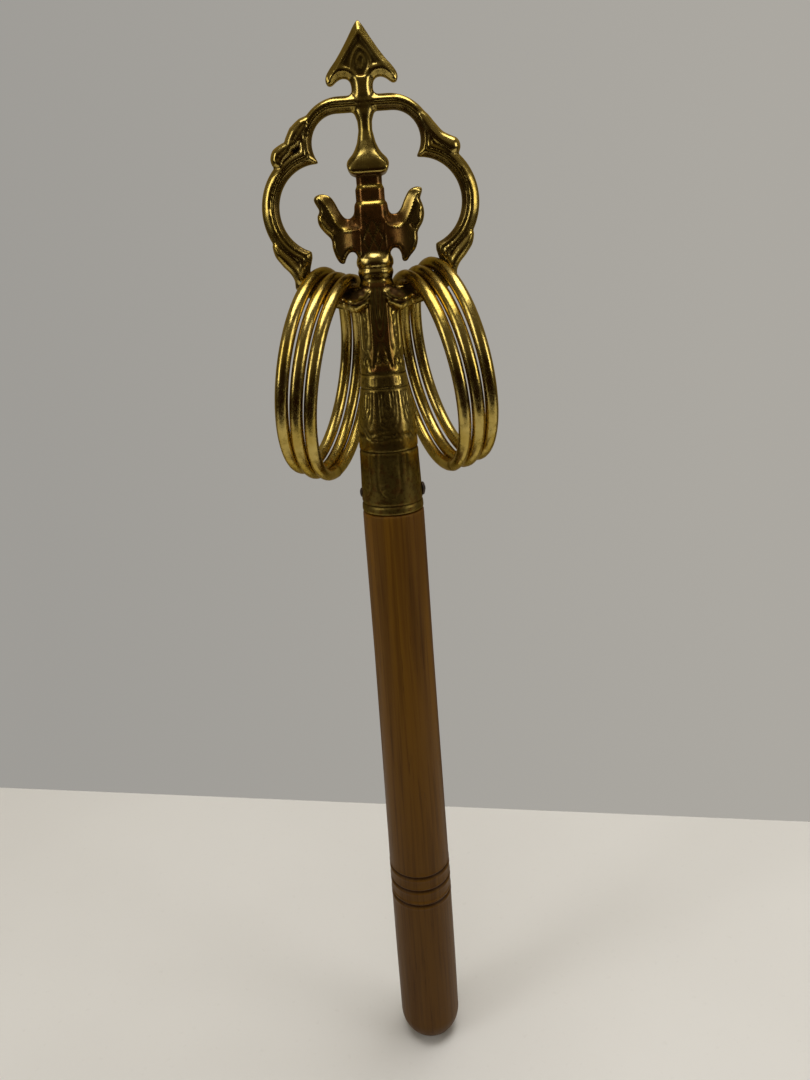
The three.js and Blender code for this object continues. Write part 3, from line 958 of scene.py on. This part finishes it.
def head_colour(n, polish_and_highlight, hollow, drift, blotch):
    """Gold where polished and where highlight is painted, brown elsewhere, with tarnish in hollows."""
    gold = n.blend(n.ranged(drift, 0.35, 0.65), POLISHED, PALE)
    gold = n.blend(n.math("MULTIPLY", n.ranged(blotch, 0.42, 0.66), 0.6), gold, OLIVE)
    brown = n.blend(n.attribute("red"), OLIVE_BROWN, BROWN)
    colour = n.blend(n.ranged(polish_and_highlight, 0.0, 0.14), TARNISH_AND_SHADE, brown)
    colour = n.blend(n.ranged(polish_and_highlight, 0.14, 0.9), colour, gold)
    return n.blend(hollow, colour, TARNISH_AND_SHADE)


def socket_colour(n, colour, low_socket, dull):
    """The socket's duller, rust-spotted lower part and the grime all over it."""
    colour = n.blend(n.math("MULTIPLY", dull, 0.85), colour, DULL)
    rust = n.math("MULTIPLY", n.ranged(n.noise(620, 3), 0.5, 0.64), low_socket)
    colour = n.blend(n.math("MULTIPLY", rust, 0.6), colour, BROWN)
    on_socket = n.ranged(n.height(), BASE_Z + 0.262, BASE_Z + 0.25)
    grime = n.math("MULTIPLY", n.ranged(n.noise(1150, 4, rough=0.65), 0.53, 0.66), on_socket)
    return n.blend(n.math("MULTIPLY", grime, 0.7), colour, TARNISH_AND_SHADE)


def brass_head():
    n = Nodes(bpy.data.materials.new("cast_brass"))
    drift = n.noise(90, 3)
    blotch = n.noise(260, 4, rough=0.6)
    recess = n.attribute("recess")
    # The polish mark also carries painted highlight on the scrolls' lips and the socket's side facets.
    worn = n.attribute("polish_and_highlight")
    edge = n.math("MULTIPLY", n.ranged(recess, -0.03, -0.15), n.ranged(worn, 0.05, 0.25, 0.12, 0.4))
    polish_and_highlight = n.math("ADD", worn, n.ranged(blotch, 0.25, 0.75, -0.16, 0.16), clamp=True)
    polish_and_highlight = n.math("ADD", polish_and_highlight, edge, clamp=True)
    deep = n.math("MULTIPLY", n.ranged(n.attribute("broad"), 0.08, 0.6), 0.8)
    hollow = n.math("MAXIMUM", n.ranged(recess, 0.015, 0.14), deep)
    hollow = n.math("MULTIPLY", hollow, n.ranged(blotch, 0.2, 0.5, 0.7, 1.0))
    low_socket = n.ranged(n.height(), BASE_Z + 0.236, BASE_Z + 0.218)
    dull = n.math("MULTIPLY", low_socket, n.ranged(drift, 0.3, 0.62, 0.45, 1.0))
    # The chased mark also carries painted shade in the scrolls' cups and grooves.
    chased_and_scroll_shade = n.math("MULTIPLY", n.attribute("chased_and_scroll_shade"), n.ranged(low_socket, 0, 1, 1.0, 0.9))
    dark = n.math("MAXIMUM", n.ranged(recess, 0.1, 0.3), chased_and_scroll_shade)
    colour = head_colour(n, polish_and_highlight, hollow, drift, blotch)
    colour = n.blend(dark, socket_colour(n, colour, low_socket, dull), DARK)
    rough = n.ranged(blotch, 0.3, 0.7, 0.2, 0.3)
    for part, more in ((hollow, 0.14), (dull, 0.2), (dark, 0.3)):
        rough = n.math("ADD", rough, n.math("MULTIPLY", part, more), clamp=True)
    pits = n.math("MULTIPLY", n.ranged(n.noise(520, 2), 0.66, 0.78), -1)
    bumps = n.bump(blotch, 0.0001, 0.5)
    bumps = n.bump(n.noise(1500, 5, rough=0.6), 0.000014, 0.5, bumps)
    return n.surface(Base_Color=colour, Metallic=n.ranged(polish_and_highlight, 0.1, 0.6, 0.7, 1.0), Roughness=rough,
                     Specular_Tint=EDGE_TINT, Normal=n.bump(pits, 0.00006, 0.4, bumps))


def brass_ring():
    n = Nodes(bpy.data.materials.new("drawn_brass"))
    drift = n.noise(120, 3)
    blotch = n.noise(420, 4, rough=0.6)
    fine = n.noise(2200, 4)
    patch = n.math("MULTIPLY", n.attribute("braze"), n.ranged(fine, 0.3, 0.6, 0.4, 1.0))
    # Painted shade near the ring's top, where it hangs under the loop's arm.
    hanging_shade = n.math("MULTIPLY", n.attribute("hanging_shade"), n.ranged(drift, 0.3, 0.6, 0.4, 0.8))
    colour = n.blend(n.ranged(drift, 0.35, 0.65), POLISHED, PALE)
    for part, amount, stain in ((n.ranged(blotch, 0.46, 0.68), 0.5, OLIVE),
                                (n.attribute("inside"), 0.25, OLIVE),
                                (patch, 0.75, TARNISH_AND_SHADE), (hanging_shade, 1, TARNISH_AND_SHADE)):
        colour = n.blend(n.math("MULTIPLY", part, amount), colour, stain)
    rough = n.ranged(blotch, 0.3, 0.7, 0.19, 0.29)
    rough = n.math("ADD", rough, n.math("MULTIPLY", patch, 0.25), clamp=True)
    bumps = n.bump(fine, 0.00002, 0.5, n.bump(blotch, 0.00014, 0.5))
    return n.surface(Base_Color=colour, Metallic=1.0, Roughness=rough, Specular_Tint=EDGE_TINT,
                     Normal=bumps)


# Wood, from its upper part, painted paler as painted light, to its pores
WOOD_PAINTED_LIGHT = (0.27, 0.122, 0.011)
WOOD_PALE = (0.105, 0.047, 0.006)
WOOD_DARK = (0.078, 0.033, 0.0035)
WOOD_BAND = (0.062, 0.024, 0.004)
WOOD_GRAIN = (0.04, 0.014, 0.003)
WOOD_PORE = (0.026, 0.009, 0.002)
GROOVE_DARK = (0.018, 0.006, 0.002)
FOOT_GRIME = (0.03, 0.014, 0.006)

IRON, IRON_RUST = (0.05, 0.046, 0.042), (0.1, 0.062, 0.04)
FLOOR, FLOOR_PALE, FLOOR_GRIT = (0.725, 0.717, 0.697), (0.755, 0.748, 0.728), (0.5, 0.49, 0.46)


def turned_wood():
    n = Nodes(bpy.data.materials.new("turned_wood"))
    warp = n.noise(16, 2, (1, 1, 0.15))
    broad = n.noise(150, 3, (1, 1, 0.035), 0.55, 0.8)
    grain = n.noise(900, 4, (1, 1, 0.022), 0.6, 0.4)
    fibres = n.noise(2600, 3, (1, 1, 0.03), 0.6)
    pores = n.ranged(fibres, 0.62, 0.74)
    grooves = None
    for centre in GROOVES:
        away = n.math("ABSOLUTE", n.math("SUBTRACT", n.height(), BASE_Z + centre * MM))
        one = n.ranged(away, 0.0008, 0.0002)
        grooves = one if grooves is None else n.math("MAXIMUM", grooves, one)
    colour = n.blend(n.ranged(warp, 0.35, 0.65), WOOD_DARK, WOOD_PALE)
    # Painted light: the wood is made paler towards the top.
    for part, amount, stain in ((n.ranged(n.height(), BASE_Z + 0.03, BASE_Z + 0.2), 0.6, WOOD_PAINTED_LIGHT),
                                (n.ranged(broad, 0.4, 0.68), 0.5, WOOD_BAND),
                                (n.ranged(grain, 0.45, 0.7), 0.42, WOOD_GRAIN),
                                (pores, 0.6, WOOD_PORE),
                                (grooves, 0.7, GROOVE_DARK),
                                (n.ranged(n.height(), BASE_Z + 0.012, BASE_Z), 0.3, FOOT_GRIME)):
        colour = n.blend(n.math("MULTIPLY", part, amount), colour, stain)
    rough = n.ranged(broad, 0.3, 0.7, 0.42, 0.56)
    rough = n.math("ADD", rough, n.ranged(fibres, 0.6, 0.75, 0.0, 0.15), clamp=True)
    bumps = n.bump(n.math("MULTIPLY", pores, -1), 0.00009, 0.5, n.bump(grain, 0.00012, 0.4))
    return n.surface(Base_Color=colour, Roughness=rough, Specular_IOR_Level=0.1, Normal=bumps)


def dark_iron():
    n = Nodes(bpy.data.materials.new("dark_iron"))
    blotch = n.noise(900, 4, rough=0.6)
    colour = n.blend(n.ranged(blotch, 0.35, 0.7), IRON, IRON_RUST)
    return n.surface(Base_Color=colour, Metallic=0.85, Roughness=n.ranged(blotch, 0.3, 0.7, 0.4, 0.65),
                     Normal=n.bump(blotch, 0.0001, 0.6))


def pale_floor():
    n = Nodes(bpy.data.materials.new("pale_floor"))
    colour = n.blend(n.ranged(n.noise(9, 4), 0.2, 0.8), FLOOR, FLOOR_PALE)
    grit = n.math("MULTIPLY", n.ranged(n.noise(400, 3), 0.6, 0.8), 0.12)
    return n.surface(Base_Color=n.blend(grit, colour, FLOOR_GRIT), Roughness=0.6)


# Pieces
def place(piece, body, node, slot, material):
    piece.data.materials.append(material)
    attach(piece, body)
    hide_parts(node)


place(build_head(), "staff", "head_casting", "brass", brass_head())
place(build_handle(), "staff", "handle", "wood", turned_wood())
iron = dark_iron()
place(build_pin(-1, -0.8, 1.45), "staff", "pin_left", "iron", iron)
place(build_pin(1, -0.45, 1.95), "staff", "pin_right", "iron", iron)
ring_brass = brass_ring()
joints = {joint["child"]: joint for joint in frame["joints"]}
ring_names = sorted(name for name in joints if name.startswith("ring_"))
for seed, name in enumerate(ring_names, 1):
    place(build_ring(name, joints[name], seed), name, name, "brass", ring_brass)


# Stage
def build_floor():
    """A pale table top whose slanting far edge is a little way behind the staff."""
    half_width, front, back, slant = 550.0, -210.0, 130.3, 0.19
    steps = 12
    x, t = np.meshgrid(np.linspace(-half_width, half_width, steps), np.linspace(0, 1, steps))
    verts = np.stack([x, mix(front, back - slant * x, t), 0 * x], -1).reshape(-1, 3)
    corner = (steps * np.arange(steps - 1)[:, None] + np.arange(steps - 1)).ravel()
    faces = np.stack([corner, corner + 1, corner + steps + 1, corner + steps], 1)
    table = new_mesh("table_top", verts, faces)
    table.data.materials.append(pale_floor())


def area_light(name, place_m, aim_m, size, power, colour):
    data = bpy.data.lights.new(name, "AREA")
    data.shape = "RECTANGLE"
    data.size, data.size_y = size
    data.energy = power
    data.color = colour
    obj = in_scene(name, data)
    obj.location = place_m
    obj.rotation_euler = (Vector(aim_m) - Vector(place_m)).to_track_quat("-Z", "Y").to_euler()


# The room as (place on a ramp, colour): front to back, up from the horizon, and left to right
ROOM_DEPTH = [(0.0, (0.014, 0.006, 0.002)), (0.4, (0.022, 0.012, 0.006)), (0.56, (0.045, 0.033, 0.02)),
              (0.7, (0.15, 0.13, 0.1)), (0.84, (0.19, 0.175, 0.145)), (1.0, (0.26, 0.24, 0.205))]
ROOM_CEILING = [(0.03, (0, 0, 0)), (0.4, (0.095, 0.08, 0.046))]
# Painted shade: the wall seen behind the staff is darker to the left than to the right.
WALL_WITH_PAINTED_SHADE = [(0.3, (0.345, 0.333, 0.31)), (0.7, (0.41, 0.392, 0.357))]


def build_world():
    """A pale grey wall behind the staff to the camera, with painted shade darkening it to the left, and a
    darker, warmer room to the brass.
    """
    world = bpy.data.worlds.new("room")
    bpy.context.scene.world = world
    n = Nodes(world)
    way = n.node("SeparateXYZ", [n.coordinates["Generated"]]).outputs
    depth = n.ramp(n.math("MULTIPLY_ADD", way["Y"], 0.5, 0.5), ROOM_DEPTH)
    wall = n.ramp(n.math("MULTIPLY_ADD", way["X"], 0.5, 0.5), WALL_WITH_PAINTED_SHADE)
    room = n.blend(1.0, depth, n.ramp(way["Z"], ROOM_CEILING), "ADD")
    seen = n.blend(n.node("LightPath").outputs["Is Camera Ray"], room, wall)
    n.put(n.tree.nodes["Background"].inputs["Color"], seen)


CAMERA_PLACE = (0.0, -0.2312, 0.1737)
CAMERA_RIGHT = Vector((0.9971, -0.0349, -0.0663))
CAMERA_FORWARD = Vector((0.0114, 0.9455, -0.3256))
CAMERA_LENS = 27.0


def build_camera():
    data = bpy.data.cameras.new("camera")
    data.lens = CAMERA_LENS
    data.sensor_width = 36.0
    data.clip_start = 0.01
    obj = in_scene("camera", data)
    up = CAMERA_RIGHT.cross(CAMERA_FORWARD).normalized()
    right = CAMERA_FORWARD.cross(up).normalized()
    turn = Matrix((right, up, -CAMERA_FORWARD.normalized())).transposed()
    obj.matrix_world = Matrix.Translation(CAMERA_PLACE) @ turn.to_4x4()
    bpy.context.scene.camera = obj


build_floor()
area_light("ceiling", (0.1, -0.02, 1.0), (0.05, 0.05, 0.0), (0.9, 0.5), 8.0, (1.0, 0.98, 0.95))
area_light("left_window", (-0.9, -0.5, 0.5), (0, 0, 0.1), (0.35, 0.7), 2.8, (1.0, 0.985, 0.96))
area_light("right_fill", (0.9, -0.4, 0.35), (0, 0, 0.1), (0.4, 0.5), 2.4, (1.0, 0.97, 0.93))
build_world()
build_camera()
bpy.context.scene.view_settings.view_transform = "Standard"
